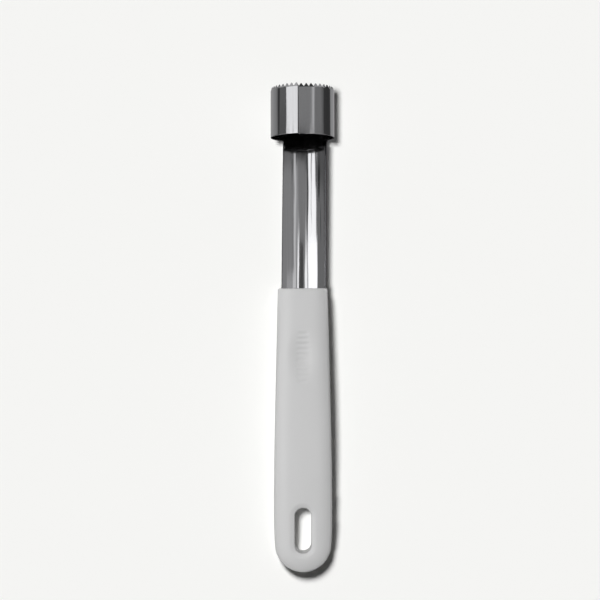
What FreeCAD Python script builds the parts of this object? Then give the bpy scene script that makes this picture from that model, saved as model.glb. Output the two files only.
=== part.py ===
import FreeCAD, Part
import math
import os
import Sketcher

# Apple corer: a stamped sheet blade (toothed ring, trough and hidden tang)
# in a plastic handle moulded round the tang.
# Frame: millimetres, +Z up, +Y towards the teeth, open side of the trough up.
# The origin is under the middle of the object, on the surface that it lies on.

# Driving sizes
SIZES = {
    "ring_diameter": 28.8,
    "sheet_thickness": 0.6,
    "ring_length": 22.4,
    "tooth_count": 40,
    "tooth_depth": 1.25,
    "tooth_tip": 0.35,
    "valley_round": 0.35,
    "ground_length": 1.6,
    "ground_edge": 0.15,
    "seam_gap": 0.3,
    "blade_turn": 4.7,
    "neck_round": 1.2,
    "trough_width": 20.7,
    "trough_length": 68.0,
    "shoulder_depth": 1.0,
    "shoulder_round": 0.6,
    "tang_width": 16.0,
    "tang_length": 46.0,
    "tang_round": 3.0,
    "lock_hole": 4.0,
    "lock_hole_count": 2,
    "lock_hole_inset": 14.0,
    "lock_hole_pitch": 20.0,
    "back_wall": 2.0,
    "mouth_wall": 1.1,
    "handle_length": 131.0,
    "belly_width": 26.84,
    "belly_from_tail": 24.7,
    "side_radius": 1764.0,
    "tail_radius": 13.0,
    "palm_thickness": 13.5,
    "palm_from_mouth": 50.3,
    "tail_thickness": 7.3,
    "tail_wall": 0.4,
    "crown_radius": 80.0,
    "top_edge_round": 3.4,
    "back_edge_round": 3.0,
    "mouth_edge_round": 0.8,
    "slot_width": 7.6,
    "slot_length": 21.4,
    "slot_from_tail": 19.6,
    "slot_edge_round": 0.5,
    "thumb_width": 12.0,
    "thumb_length": 27.4,
    "thumb_depth": 0.8,
    "thumb_bowl": 6.0,
    "thumb_from_mouth": 30.6,
    "groove_count": 10,
    "groove_pitch": 2.42,
    "groove_length": 7.3,
    "groove_depth": 0.3,
    "groove_radius": 0.8,
}

# Sizes that follow from the driving ones
DERIVED = {
    "outer_radius": "=ring_diameter / 2",
    "inner_radius": "=outer_radius - sheet_thickness",
    "overall_length": "=ring_length + trough_length + handle_length",
    "rim_place": "=overall_length / 2 - ring_length",
    "mouth_place": "=rim_place - trough_length",
    "tail_place": "=-overall_length / 2",
    "axis_height": "=back_wall + outer_radius",
    "trough_end": "=trough_length + shoulder_depth",
    "tang_end": "=trough_length + tang_length",
    "trough_outer_half": "=trough_width / 2",
    "trough_outer_drop": "=sqrt(outer_radius ^ 2 - trough_outer_half ^ 2)",
    "trough_inner_half": "=trough_outer_half * inner_radius / outer_radius",
    "trough_inner_drop": "=trough_outer_drop * inner_radius / outer_radius",
    "tang_outer_half": "=tang_width / 2",
    "tang_outer_drop": "=sqrt(outer_radius ^ 2 - tang_outer_half ^ 2)",
    "tang_inner_half": "=tang_outer_half * inner_radius / outer_radius",
    "tang_inner_drop": "=tang_outer_drop * inner_radius / outer_radius",
    "seam_half": "=seam_gap / 2",
    "tooth_pitch": "=pi * ring_diameter / tooth_count",
    "notch_half": "=(tooth_pitch - tooth_tip) / 2",
    "notch_clear": "=ring_length + tooth_depth",
    "notch_floor": "=inner_radius - sheet_thickness",
    "notch_height": "=3 * sheet_thickness",
    "valley_centre": "=tooth_depth - valley_round",
    "valley_place": "=ring_length - valley_centre",
    "valley_reach": "=sqrt(notch_half ^ 2 + valley_centre ^ 2)",
    "valley_tilt": "=atan(valley_centre / notch_half) - acos(valley_round / valley_reach)",
    "valley_half": "=valley_round * cos(valley_tilt)",
    "valley_side": "=valley_place + valley_round * sin(valley_tilt)",
    "first_lock_hole": "=trough_length + lock_hole_inset",
    "lock_hole_radius": "=lock_hole / 2",
    "lock_hole_span": "=lock_hole_pitch * (lock_hole_count - 1)",
    "mouth_half": "=trough_outer_half + mouth_wall",
    "belly_half": "=belly_width / 2",
    "belly_place": "=tail_place + belly_from_tail",
    "palm_place": "=mouth_place - palm_from_mouth",
    "tail_run": "=palm_place - tail_place",
    "top_fall": "=palm_thickness - tail_thickness",
    "top_radius": "=(tail_run ^ 2 + top_fall ^ 2) / (2 * top_fall)",
    "crown_half": "=max(belly_half; mouth_half) + top_edge_round",
    "crown_fall": "=crown_radius - sqrt(crown_radius ^ 2 - crown_half ^ 2)",
    "crown_edge": "=top_radius - crown_fall",
    "crown_centre": "=top_radius - crown_radius",
    "crown_clear": "=top_radius + 2 * palm_thickness",
    "crown_reach": "=max(tail_run; palm_from_mouth) + palm_thickness",
    "block_height": "=palm_thickness + top_edge_round",
    "round_limit": "=(tail_thickness - tail_wall) / 2",
    "top_round": "=min(top_edge_round; round_limit)",
    "back_round": "=min(back_edge_round; round_limit)",
    "slot_place": "=tail_place + slot_from_tail",
    "slot_half": "=slot_width / 2",
    "slot_upper": "=slot_place + (slot_length - slot_width) / 2",
    "slot_lower": "=slot_place - (slot_length - slot_width) / 2",
    "thumb_place": "=mouth_place - thumb_from_mouth",
    "thumb_lift": "=thumb_bowl - thumb_depth",
    "thumb_share": "=sqrt(1 - (thumb_lift / thumb_bowl) ^ 2)",
    "thumb_half_width": "=thumb_width / 2 / thumb_share",
    "thumb_half_length": "=thumb_length / 2 / thumb_share",
    "thumb_rise": "=thumb_place - palm_place",
    "thumb_top": "=palm_thickness - top_radius + sqrt(top_radius ^ 2 - thumb_rise ^ 2)",
    "thumb_slope": "=thumb_rise / top_radius",
}

# Origin planes and axes, by the role that each body's origin gives them
SECTION_PLANE = "XZ_Plane"
PLAN_PLANE = "XY_Plane"
SIDE_PLANE = "YZ_Plane"
LONG_AXIS = "Y_Axis"

# The numbers by which a sketch knows its own two axes and the points of an edge
LEVEL_AXIS, UPRIGHT_AXIS = range(-1, -3, -1)
START, END, CENTRE = range(1, 4)
ORIGIN = (LEVEL_AXIS, START)

ACROSS = FreeCAD.Vector(1, 0, 0)
UP = FreeCAD.Vector(0, 0, 1)
TIGHT = 1e-4


doc = FreeCAD.newDocument("apple_corer")
sizes = doc.addObject("Spreadsheet::Sheet", "sizes")


def fill_sheet():
    """Write the driving sizes, then the formulas that follow from them."""
    rows = list(SIZES.items()) + list(DERIVED.items())
    for row, (name, content) in enumerate(rows, start=1):
        sizes.set(f"A{row}", name)
        sizes.set(f"B{row}", str(content))
        sizes.setAlias(f"B{row}", name)
    doc.recompute()


def value(term):
    """The number in the cell that a term names; a leading minus turns its sign."""
    if term == "0":
        return 0.0
    number = float(getattr(sizes, term.lstrip("-")))
    return -number if term.startswith("-") else number


def cell(term):
    """The expression that reads the cell that a term names."""
    return f"-sizes.{term[1:]}" if term.startswith("-") else f"sizes.{term}"


def bind(thing, settings):
    """Tie each property of an object to an expression on the sheet."""
    for name, expression in settings.items():
        thing.setExpression(name, expression)


def origin_part(body, role):
    """One plane or axis of a body's own origin."""
    return next(part for part in body.Origin.OriginFeatures if part.Role == role)


def new_body(name):
    body = doc.addObject("PartDesign::Body", name)
    body.Label = name
    return body


def new_sketch(body, name, role, lift=None):
    """A sketch on one of the body's origin planes, lifted along its normal."""
    sketch = body.newObject("Sketcher::SketchObject", name)
    sketch.AttachmentSupport = [(origin_part(body, role), "")]
    sketch.MapMode = "FlatFace"
    if lift:
        sketch.setExpression("AttachmentOffset.Base.z", lift)
    return sketch


def pin(sketch, edge, end, vertex):
    """Fix an end of an edge at the place that the sheet gives."""
    pin_along(sketch, "DistanceX", UPRIGHT_AXIS, edge, end, vertex[0])
    pin_height(sketch, edge, end, vertex[1])


def pin_height(sketch, edge, end, term):
    pin_along(sketch, "DistanceY", LEVEL_AXIS, edge, end, term)


def pin_along(sketch, kind, axis, edge, end, term):
    """Fix one coordinate of a point: on the axis, or at the distance in a cell."""
    if term == "0":
        sketch.addConstraint(Sketcher.Constraint("PointOnObject", edge, end, axis))
        return
    index = sketch.addConstraint(Sketcher.Constraint(kind, *ORIGIN, edge, end, value(term)))
    sketch.setExpression(f"Constraints[{index}]", cell(term))


def bind_radius(sketch, edge, term):
    index = sketch.addConstraint(Sketcher.Constraint("Radius", edge, value(term)))
    sketch.setExpression(f"Constraints[{index}]", cell(term))


def arc_between(start, end, centre, clockwise):
    """The arc about a centre from start to end."""
    first, last = (end, start) if clockwise else (start, end)
    angles = [math.atan2(point.y - centre.y, point.x - centre.x) for point in (first, last)]
    circle = Part.Circle(centre, UP, (start - centre).Length)
    return Part.ArcOfCircle(circle, angles[0], angles[1])


def draw_profile(sketch, vertices):
    """Draw a closed profile.

    A vertex is (x, y), reached by a line, or (x, y, centre, turn), reached by an arc
    that mirrors about the upright axis, has its centre at that height, and turns
    "left" or "right" as it goes.
    """
    points = [FreeCAD.Vector(value(vertex[0]), value(vertex[1]), 0) for vertex in vertices]
    ends = []
    for index, vertex in enumerate(vertices):
        start, end = points[index - 1], points[index]
        clockwise = vertex[-1] == "right"
        if len(vertex) == 4:
            shape = arc_between(start, end, FreeCAD.Vector(0, value(vertex[2]), 0), clockwise)
        else:
            shape = Part.LineSegment(start, end)
        edge = sketch.addGeometry(shape)
        ends.append((edge, END, START) if clockwise else (edge, START, END))
    for index, vertex in enumerate(vertices):
        edge, first, last = ends[index]
        before = ends[index - 1]
        sketch.addConstraint(Sketcher.Constraint("Coincident", before[0], before[2], edge, first))
        pin(sketch, edge, last, vertex)
        if len(vertex) == 4:
            pin_height(sketch, edge, CENTRE, vertex[2])


def draw_circle(sketch, centre, radius):
    """Draw a full circle about a place on the sheet."""
    middle = FreeCAD.Vector(value(centre[0]), value(centre[1]), 0)
    circle = Part.Circle(middle, UP, value(radius))
    edge = sketch.addGeometry(circle)
    if centre == ("0", "0"):
        sketch.addConstraint(Sketcher.Constraint("Coincident", edge, CENTRE, *ORIGIN))
    else:
        pin(sketch, edge, CENTRE, centre)
    bind_radius(sketch, edge, radius)


def feature(body, kind, name, sketch=None, settings=None, **options):
    """Add a feature to a body, bind its sizes and work it out."""
    item = body.newObject(f"PartDesign::{kind}", name)
    if sketch:
        item.Profile = sketch
        sketch.Visibility = False
    for option, setting in options.items():
        setattr(item, option, setting)
    bind(item, settings or {})
    doc.recompute()
    return item


def edge_names(shape, wanted):
    """The names of the edges that a test accepts."""
    return [f"Edge{number}" for number, edge in enumerate(shape.Edges, start=1) if wanted(edge)]


def edge_feature(body, kind, name, wanted, settings, **options):
    """A fillet or chamfer on the edges of the body's last shape that a test accepts."""
    names = edge_names(body.Tip.Shape, wanted)
    return feature(body, kind, name, settings=settings, Base=(body.Tip, names), **options)


def round_edges(body, name, radius, wanted):
    edge_feature(body, "Fillet", name, wanted, {"Radius": cell(radius)})


def box_of(shape):
    return shape.optimalBoundingBox(False, False)


def near(one, other):
    return abs(one - other) < TIGHT


def lies_at(edge, place):
    """True for an edge that lies wholly at one place along the blade's axis."""
    box = box_of(edge)
    return near(box.YMin, place) and near(box.YMax, place)


def crosses_sheet(edge):
    """True for a straight edge that goes from the sheet's inside to its outside."""
    return near(edge.Length, value("sheet_thickness")) and isinstance(edge.Curve, Part.Line)


def wall_section(body, name, half, lift=None):
    """The section of a part-round wall that is open upwards."""
    sketch = new_sketch(body, name, SECTION_PLANE, lift)
    outer = (f"{half}_outer_half", f"-{half}_outer_drop")
    inner = (f"{half}_inner_half", f"-{half}_inner_drop")
    draw_profile(sketch, [
        (f"-{outer[0]}", outer[1]),
        (outer[0], outer[1], "0", "left"),
        inner,
        (f"-{inner[0]}", inner[1], "0", "right"),
    ])
    return sketch


# Blade, in a frame of its own: its axis is Y, and the ring's rear rim is at 0

def make_blade():
    body = new_body("blade")
    add_ring(body)
    add_trough_and_tang(body)
    cut_seam(body)
    grind_and_notch(body)
    cut_lock_holes(body)
    bind(body, {
        "Placement.Base.y": "sizes.rim_place",
        "Placement.Base.z": "sizes.axis_height",
    })
    body.Placement.Rotation.Axis = FreeCAD.Vector(0, -1, 0)
    body.setExpression("Placement.Rotation.Angle", "sizes.blade_turn")
    doc.recompute()
    return body


def add_ring(body):
    """The ring, a short tube forward of the rim."""
    sketch = new_sketch(body, "ring_section", SECTION_PLANE)
    draw_circle(sketch, ("0", "0"), "outer_radius")
    draw_circle(sketch, ("0", "0"), "inner_radius")
    feature(body, "Pad", "ring", sketch, {"Length": "sizes.ring_length"}, Reversed=True)


def add_trough_and_tang(body):
    """The trough runs back from the rim, and a narrower tang runs on into the handle."""
    trough = wall_section(body, "trough_section", "trough")
    feature(body, "Pad", "trough", trough, {"Length": "sizes.trough_end"})
    tang = wall_section(body, "tang_section", "tang", "sizes.trough_end")
    length = "sizes.tang_end - sizes.trough_end"
    feature(body, "Pad", "tang", tang, {"Length": length})

    def at_neck(edge):
        return crosses_sheet(edge) and lies_at(edge, 0) and box_of(edge).ZMax < 0

    def at_shoulder(edge):
        return crosses_sheet(edge) and lies_at(edge, -value("trough_end"))

    def at_tang_end(edge):
        return crosses_sheet(edge) and lies_at(edge, -value("tang_end"))

    round_edges(body, "neck_fillets", "neck_round", at_neck)
    round_edges(body, "shoulder_fillets", "shoulder_round", at_shoulder)
    round_edges(body, "tang_fillets", "tang_round", at_tang_end)


def cut_seam(body):
    """The strip's two ends meet at the top of the ring, a small gap apart."""
    sketch = new_sketch(body, "seam_outline", PLAN_PLANE)
    draw_profile(sketch, [
        ("-seam_half", "-neck_round"),
        ("seam_half", "-neck_round"),
        ("seam_half", "notch_clear"),
        ("-seam_half", "notch_clear"),
    ])
    feature(body, "Pocket", "seam", sketch, Type="ThroughAll", Reversed=True)


def grind_and_notch(body):
    """Grind the ring's front edge thin from outside, then cut the teeth into it."""
    def front_edge(edge):
        round_one = isinstance(edge.Curve, Part.Circle)
        outer = round_one and near(edge.Curve.Radius, value("outer_radius"))
        return outer and lies_at(edge, value("ring_length"))

    edge_feature(
        body, "Chamfer", "ground_edge_bevel", front_edge,
        {"Size": "sizes.ground_length", "Size2": "sizes.sheet_thickness - sizes.ground_edge"},
        ChamferType="Two distances", FlipDirection=True,
    )

    sketch = new_sketch(body, "notch_outline", PLAN_PLANE, "sizes.notch_floor")
    draw_notch(sketch)
    notch = feature(body, "Pocket", "notch", sketch, {"Length": "sizes.notch_height"}, Reversed=True)
    pattern = feature(
        body, "PolarPattern", "teeth",
        settings={"Occurrences": "sizes.tooth_count"},
        Axis=(origin_part(body, LONG_AXIS), [""]), Angle=360.0, Originals=[notch],
    )
    body.Tip = pattern
    doc.recompute()


def draw_notch(sketch):
    """The gap between two teeth: two slanted sides that a small arc joins."""
    draw_profile(sketch, [
        ("valley_half", "valley_side", "valley_place", "left"),
        ("notch_half", "ring_length"),
        ("notch_half", "notch_clear"),
        ("-notch_half", "notch_clear"),
        ("-notch_half", "ring_length"),
        ("-valley_half", "valley_side"),
    ])


def cut_lock_holes(body):
    """Round holes that the handle's plastic fills."""
    sketch = new_sketch(body, "lock_hole_outline", PLAN_PLANE)
    draw_circle(sketch, ("0", "-first_lock_hole"), "lock_hole_radius")
    hole = feature(body, "Pocket", "lock_hole_cut", sketch, Type="ThroughAll")
    pattern = feature(
        body, "LinearPattern", "lock_holes",
        settings={"Length": "sizes.lock_hole_span", "Occurrences": "sizes.lock_hole_count"},
        Direction=(origin_part(body, LONG_AXIS), [""]), Reversed=True, Originals=[hole],
    )
    body.Tip = pattern
    doc.recompute()


# Handle, in the frame of the whole object

def make_handle(blade):
    """Shape the moulding, then take out the room that the blade fills."""
    body = new_body("handle_moulding")
    add_block(body)
    crown_top(body)
    round_outside(body)
    cut_hang_slot(body)
    dish_thumb_rest(body)
    cutters = doc.addObject("Part::Compound", "handle_cutters")
    grooves = [groove_cutter(number) for number in range(round(value("groove_count")))]
    cutters.Links = [blade] + grooves
    handle = doc.addObject("Part::Cut", "handle")
    handle.Base = body
    handle.Tool = cutters
    handle.Label = "handle"
    doc.recompute()
    return handle


def add_block(body):
    """Half of the plan outline, padded up and mirrored."""
    sketch = new_sketch(body, "plan_outline", PLAN_PLANE)
    draw_plan(sketch)
    pad = feature(body, "Pad", "half_block", sketch, {"Length": "sizes.block_height"})
    mirror = feature(
        body, "Mirrored", "block",
        MirrorPlane=(origin_part(body, SIDE_PLANE), [""]), Originals=[pad],
    )
    body.Tip = mirror
    doc.recompute()


def draw_plan(sketch):
    """A straight taper from the mouth, a long arc to the belly and a round tail."""
    mouth = FreeCAD.Vector(value("mouth_half"), value("mouth_place"), 0)
    belly = FreeCAD.Vector(value("belly_half"), value("belly_place"), 0)
    tail = FreeCAD.Vector(0, value("tail_place"), 0)
    start = FreeCAD.Vector(0, value("mouth_place"), 0)

    side_radius = value("side_radius")
    side_centre = belly - FreeCAD.Vector(side_radius, 0, 0)
    reach = mouth - side_centre
    tilt = math.atan2(reach.y, reach.x) - math.acos(side_radius / reach.Length)
    turn = side_centre + FreeCAD.Vector(math.cos(tilt), math.sin(tilt), 0) * side_radius

    tail_radius = value("tail_radius")
    tail_centre = tail + FreeCAD.Vector(0, tail_radius, 0)
    gap = belly.y - tail_centre.y
    overhang = belly.x - tail_radius
    blend_radius = (belly.x ** 2 + gap ** 2 - tail_radius ** 2) / (2 * overhang)
    blend_centre = belly - FreeCAD.Vector(blend_radius, 0, 0)
    dip = math.atan2(gap, -blend_centre.x)
    join = blend_centre + FreeCAD.Vector(math.cos(dip), -math.sin(dip), 0) * blend_radius

    front, taper, side, blend, end, middle = sketch.addGeometry([
        Part.LineSegment(start, mouth),
        Part.LineSegment(mouth, turn),
        Part.ArcOfCircle(Part.Circle(side_centre, UP, side_radius), 0, tilt),
        Part.ArcOfCircle(Part.Circle(blend_centre, UP, blend_radius), -dip, 0),
        Part.ArcOfCircle(Part.Circle(tail_centre, UP, tail_radius), -math.pi / 2, -dip),
        Part.LineSegment(tail, start),
    ])
    joints = [
        ("Coincident", front, END, taper, START),
        ("Tangent", taper, END, side, END),
        ("Tangent", side, START, blend, END),
        ("Tangent", blend, START, end, END),
        ("Coincident", end, START, middle, START),
        ("Coincident", middle, END, front, START),
        ("Horizontal", front),
        ("PointOnObject", front, START, UPRIGHT_AXIS),
        ("PointOnObject", end, CENTRE, UPRIGHT_AXIS),
        ("Horizontal", side, CENTRE, side, START),
    ]
    for joint in joints:
        sketch.addConstraint(Sketcher.Constraint(*joint))
    pin(sketch, taper, START, ("mouth_half", "mouth_place"))
    pin(sketch, side, START, ("belly_half", "belly_place"))
    pin(sketch, end, START, ("0", "tail_place"))
    bind_radius(sketch, side, "side_radius")
    bind_radius(sketch, end, "tail_radius")


def crown_top(body):
    """Turn an arc about an axis far below, which leaves a top that is round both ways."""
    sketch = new_sketch(body, "crown_section", SECTION_PLANE, "-sizes.palm_place")
    sketch.setExpression("AttachmentOffset.Base.y", "sizes.palm_thickness - sizes.top_radius")
    draw_profile(sketch, [
        ("-crown_half", "crown_clear"),
        ("-crown_half", "crown_edge"),
        ("crown_half", "crown_edge", "crown_centre", "right"),
        ("crown_half", "crown_clear"),
    ])
    turn = "2 * asin(sizes.crown_reach / sizes.top_radius)"
    feature(
        body, "Groove", "crown", sketch, {"Angle": turn},
        ReferenceAxis=(sketch, ["H_Axis"]), Midplane=True,
    )


def round_outside(body):
    """Round the long edges of the top and the back, then the small edge of the mouth."""
    def at_mouth(edge):
        return lies_at(edge, value("mouth_place"))

    def runs_round(edge):
        box = box_of(edge)
        upright = box.XLength < TIGHT and box.YLength < TIGHT
        return not upright and not at_mouth(edge)

    def on_top(edge):
        return runs_round(edge) and box_of(edge).ZMin > TIGHT

    def on_back(edge):
        return runs_round(edge) and box_of(edge).ZMax < TIGHT

    round_edges(body, "top_rounding", "top_round", on_top)
    round_edges(body, "back_rounding", "back_round", on_back)
    round_edges(body, "mouth_rounding", "mouth_edge_round", at_mouth)


def cut_hang_slot(body):
    """A slot with round ends, right through, with softened rims."""
    sketch = new_sketch(body, "slot_outline", PLAN_PLANE)
    draw_profile(sketch, [
        ("slot_half", "slot_lower", "slot_lower", "left"),
        ("slot_half", "slot_upper"),
        ("-slot_half", "slot_upper", "slot_upper", "left"),
        ("-slot_half", "slot_lower"),
    ])
    feature(body, "Pocket", "hang_slot", sketch, Type="ThroughAll", Reversed=True)

    def is_slot_rim(edge):
        box = box_of(edge)
        beside = max(abs(box.XMin), abs(box.XMax)) < value("slot_half") + TIGHT
        below = box.YMax < value("slot_place") + value("slot_length") / 2 + TIGHT
        above = box.YMin > value("slot_place") - value("slot_length") / 2 - TIGHT
        return beside and below and above and box.ZLength < value("tail_thickness") / 2

    round_edges(body, "slot_rims", "slot_edge_round", is_slot_rim)


def dish_thumb_rest(body):
    """A shallow oval dish, tilted to follow the slope of the top where it lies."""
    dish = feature(
        body, "SubtractiveEllipsoid", "thumb_dish",
        settings={
            "Radius1": "sizes.thumb_bowl",
            "Radius2": "sizes.thumb_half_width",
            "Radius3": "sizes.thumb_half_length",
            "AttachmentOffset.Base.y": "sizes.thumb_place + sizes.thumb_lift * sizes.thumb_slope",
            "AttachmentOffset.Base.z": "sizes.thumb_top + sizes.thumb_lift",
            "AttachmentOffset.Rotation.Angle": "asin(sizes.thumb_slope)",
        },
        AttachmentSupport=[(origin_part(body, PLAN_PLANE), "")], MapMode="FlatFace",
        AttachmentOffset=FreeCAD.Placement(FreeCAD.Vector(), FreeCAD.Rotation(-ACROSS, 1)),
    )
    body.Tip = dish


def groove_cutter(number):
    """A cylinder across the handle, sunk a little below the dish's floor where it lies."""
    cutter = doc.addObject("Part::Cylinder", f"groove_{number}")
    step = f"({number} - (sizes.groove_count - 1) / 2) * sizes.groove_pitch"
    top = f"sizes.thumb_top - ({step}) * sizes.thumb_slope - ({step}) ^ 2 / (2 * sizes.top_radius)"
    floor = f"{top} - sizes.thumb_depth * (1 - (2 * {step} / sizes.thumb_length) ^ 2)"
    cutter.Placement.Rotation = FreeCAD.Rotation(UP, ACROSS)
    bind(cutter, {
        "Radius": "sizes.groove_radius",
        "Height": "sizes.groove_length",
        "Placement.Base.x": "-sizes.groove_length / 2",
        "Placement.Base.y": f"sizes.thumb_place + {step}",
        "Placement.Base.z": f"{floor} + sizes.groove_radius - sizes.groove_depth",
    })
    return cutter


def check_document():
    """Stop if any object failed, or if a piece isn't a sound solid."""
    for item in doc.Objects:
        for state in item.State:
            if state in ("Invalid", "Error"):
                raise RuntimeError(f"{item.Name} is {state}")


def write_pieces(pieces):
    os.makedirs("parts", exist_ok=True)
    for piece in pieces:
        shape = piece.Shape
        if shape.isNull() or not shape.isValid() or not shape.Solids:
            raise RuntimeError(f"{piece.Label} has no sound shape")
        shape.exportStep(f"parts/{piece.Label}.step")
        box = box_of(shape)
        print(
            piece.Label, len(shape.Solids), "solid", len(shape.Faces), "faces",
            f"{shape.Volume:.1f} mm3",
            f"X {box.XMin:.2f} {box.XMax:.2f} Y {box.YMin:.2f} {box.YMax:.2f}",
            f"Z {box.ZMin:.2f} {box.ZMax:.2f}",
        )


fill_sheet()
blade = make_blade()
handle = make_handle(blade)
check_document()
write_pieces([blade, handle])
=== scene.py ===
# %% [markdown]
# # An apple corer, dressed for the camera
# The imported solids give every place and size. This lesson builds two new skins over them,
# a polished steel blade and a satin plastic handle, and lights them as on a studio table.

# %% Load the frame
import math

import bmesh
import bpy
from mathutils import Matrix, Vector


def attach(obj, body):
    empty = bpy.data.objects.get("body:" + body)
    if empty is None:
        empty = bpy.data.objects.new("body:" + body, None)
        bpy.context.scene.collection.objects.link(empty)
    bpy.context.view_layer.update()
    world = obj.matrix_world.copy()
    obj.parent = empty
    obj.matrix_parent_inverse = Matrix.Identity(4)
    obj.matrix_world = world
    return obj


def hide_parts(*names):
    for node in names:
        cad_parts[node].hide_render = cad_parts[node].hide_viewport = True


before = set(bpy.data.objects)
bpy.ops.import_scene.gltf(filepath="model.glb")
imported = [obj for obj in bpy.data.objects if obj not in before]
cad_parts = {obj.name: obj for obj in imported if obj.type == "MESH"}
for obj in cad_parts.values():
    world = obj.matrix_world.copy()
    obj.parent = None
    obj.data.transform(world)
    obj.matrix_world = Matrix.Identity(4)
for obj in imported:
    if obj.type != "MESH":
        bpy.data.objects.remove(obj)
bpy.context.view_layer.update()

MM = 0.001
scene = bpy.context.scene

# %% [markdown]
# ## The camera
# The photograph looks straight down on the tool from about half a metre. A camera that near
# shows the ring, which stands 31 mm high, larger than the handle, so its distance matters.
# The lens follows from the photograph's field of view, and the sensor stays as it is.

# %% Camera
PHOTO_WIDTH = 600
LENS_PIXELS = 1130
CAMERA_PLACE = Vector((-1.24, 14.95, 528)) * MM
CAMERA_ROLL = math.radians(-0.09)
CLIP_START = 10 * MM

bpy.ops.object.camera_add(location=CAMERA_PLACE, rotation=(0, 0, CAMERA_ROLL))
camera = bpy.context.object
camera.name = "camera"
camera.data.lens = camera.data.sensor_width * LENS_PIXELS / PHOTO_WIDTH
camera.data.clip_start = CLIP_START
scene.camera = camera
print("lens", round(camera.data.lens, 1), "mm")

# %% [markdown]
# ## Small tools
# Each piece is shaped in edit mode, where an operator acts on what is selected. So the first
# tools select by place, and another one cuts the whole mesh along a plane. The others extrude,
# round and apply, so that each later step is a line or two.

# %% Selecting and cutting
NEARLY = 0.01  # places this near, in millimetres, count as one
FACING = 0.5  # a face looks along an axis if its normal has more than this on it
MERGE_WITHIN = 1e-6  # metres
CUT_WITHIN = 1e-7  # metres


def clear_selection():
    """Deselect everything, so that the next operator acts on the new piece alone."""
    bpy.ops.object.select_all(action="DESELECT")


def pick(kind, wanted):
    """Select the vertices, edges or faces that a test accepts, and count them."""
    bpy.ops.mesh.select_mode(type=kind)
    bpy.ops.mesh.select_all(action="DESELECT")
    mesh = bmesh.from_edit_mesh(bpy.context.object.data)
    parts = {"VERT": mesh.verts, "EDGE": mesh.edges, "FACE": mesh.faces}[kind]
    chosen = [part for part in parts if wanted(part)]
    for part in chosen:
        part.select_set(True)
    mesh.select_flush_mode()
    bmesh.update_edit_mesh(bpy.context.object.data)
    return len(chosen)


def middle(part):
    """The middle of an edge or face, in millimetres."""
    return sum((vertex.co for vertex in part.verts), Vector()) / len(part.verts) / MM


def cut_along(place, normal, **options):
    """Cut the whole mesh along a plane through a place in millimetres."""
    bpy.ops.mesh.select_all(action="SELECT")
    bpy.ops.mesh.bisect(
        plane_co=Vector(place) * MM, plane_no=normal, threshold=CUT_WITHIN, **options
    )


def extrude_by(x, y, z):
    """Extrude what is selected by an offset in millimetres."""
    bpy.ops.mesh.extrude_region_move(
        TRANSFORM_OT_translate={"value": Vector((x, y, z)) * MM}
    )


def round_selected(radius, segments):
    """Round the selected edges by a radius in millimetres."""
    bpy.ops.mesh.bevel(
        offset=radius * MM, segments=segments, affect="EDGES", clamp_overlap=False
    )


def apply_modifier(piece, kind, **settings):
    """Add a modifier with its settings, and apply it at once."""
    modifier = piece.modifiers.new(kind.lower(), kind)
    for name, setting in settings.items():
        setattr(modifier, name, setting)
    bpy.ops.object.modifier_apply(modifier=modifier.name)


def report(piece):
    """Print a piece's faces and its reach on each axis, in millimetres."""
    low = [min(v.co[axis] for v in piece.data.vertices) / MM for axis in range(3)]
    high = [max(v.co[axis] for v in piece.data.vertices) / MM for axis in range(3)]
    ends = ", ".join(f"{a:.2f} to {b:.2f}" for a, b in zip(low, high))
    print(piece.name, len(piece.data.polygons), "faces,", ends, "mm")


# %% [markdown]
# ## The blade: a flat blank
# A factory stamps the blade flat from steel strip and rolls it afterwards. This way is taken
# here too: teeth and corners are easy to shape on a flat blank, and rolling then bends them
# all alike. The blank stands upright, its outer face towards +Y and its teeth upwards.
# One tooth comes first: an edge pushed out and pinched to a narrow tip.

# %% One tooth
RING_DIAMETER = 28.8
RING_RADIUS = RING_DIAMETER / 2
RING_LENGTH = 22.4
SHEET = 0.6
TOOTH_COUNT = 40
TOOTH_TIP = 0.35
TOOTH_DEPTH = 1.25
VALLEY_RADIUS = 0.35

pitch = math.pi * RING_DIAMETER / TOOTH_COUNT
notch_half = (pitch - TOOTH_TIP) / 2
valley_centre = TOOTH_DEPTH - VALLEY_RADIUS
reach = math.hypot(notch_half, valley_centre)
side_slope = math.acos(VALLEY_RADIUS / reach) - math.atan(valley_centre / notch_half)
sharp_depth = notch_half / math.tan(side_slope)
valley_place = RING_LENGTH - sharp_depth

clear_selection()
bpy.ops.mesh.primitive_plane_add(size=1, rotation=(math.pi / 2, 0, 0))
blade = bpy.context.object
blade.name = "blade_steel"
bpy.ops.object.transform_apply(location=True, rotation=True, scale=True)
bpy.ops.object.mode_set(mode="EDIT")
bpy.ops.transform.resize(value=(pitch * MM, 1, valley_place * MM))
bpy.ops.transform.translate(value=(0, 0, valley_place / 2 * MM))
pick("EDGE", lambda edge: middle(edge).z > valley_place - NEARLY)
extrude_by(0, 0, sharp_depth)
bpy.ops.transform.resize(value=(TOOTH_TIP / pitch, 1, 1))
print(f"one tooth of {TOOTH_COUNT}, {pitch:.2f} mm wide, sides at", math.degrees(side_slope))

# %% [markdown]
# An array copies the tooth into a row as long as the ring is round. The two ends are trimmed,
# which leaves the small gap that the ring's seam has.

# %% The row of teeth
SEAM_TRIM = 0.05

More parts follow.
